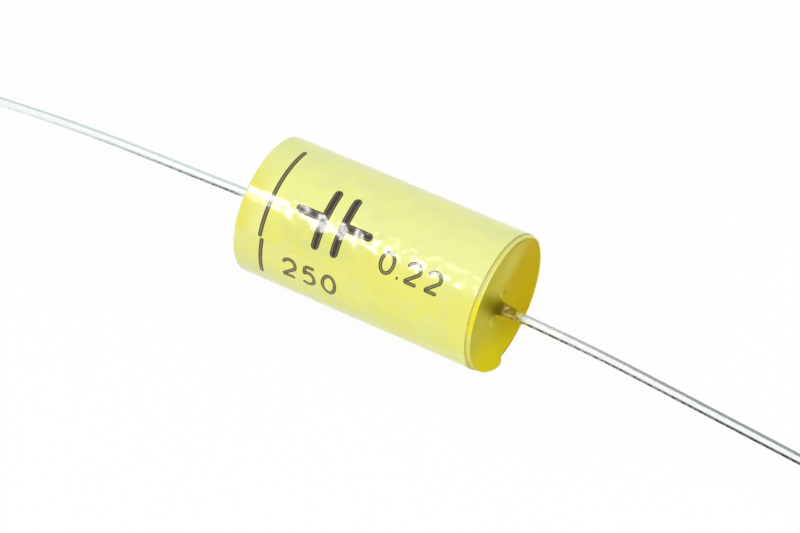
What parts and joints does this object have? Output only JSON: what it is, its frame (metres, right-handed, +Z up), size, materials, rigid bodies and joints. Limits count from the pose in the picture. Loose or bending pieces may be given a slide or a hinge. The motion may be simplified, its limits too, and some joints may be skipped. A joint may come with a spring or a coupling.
{
  "type": "film capacitor",
  "caption": "Round yellow tape-wrapped film capacitor with epoxy-filled ends and a tinned wire lead leaving each end, soldered into a circuit to couple, block or filter voltage.",
  "frame": {"origin": "on the surface that the part lies on, under the middle of the tape roll's axis", "axes": "+X along the body axis towards the right lead, +Z up from the surface, +Y across the body"},
  "size_m": [0.098, 0.0119, 0.0119],
  "materials": {
    "yellow_tape": "glossy pale yellow polyester tape",
    "rolled_film": "rolled plastic film and foil",
    "sprayed_metal": "dull grey flame-sprayed zinc and tin",
    "solder": "satin tin solder",
    "tinned_wire": "bright drawn tinned copper wire",
    "yellow_epoxy": "translucent yellow cast epoxy"
  },
  "bodies": {
    "root": {"tape_wrap": "yellow_tape", "film_winding": "rolled_film", "end_spray_left": "sprayed_metal", "end_spray_right": "sprayed_metal", "solder_left": "solder", "solder_right": "solder", "lead_left": "tinned_wire", "lead_right": "tinned_wire", "epoxy_fill_left": "yellow_epoxy", "epoxy_fill_right": "yellow_epoxy"}
  },
  "joints": []
}
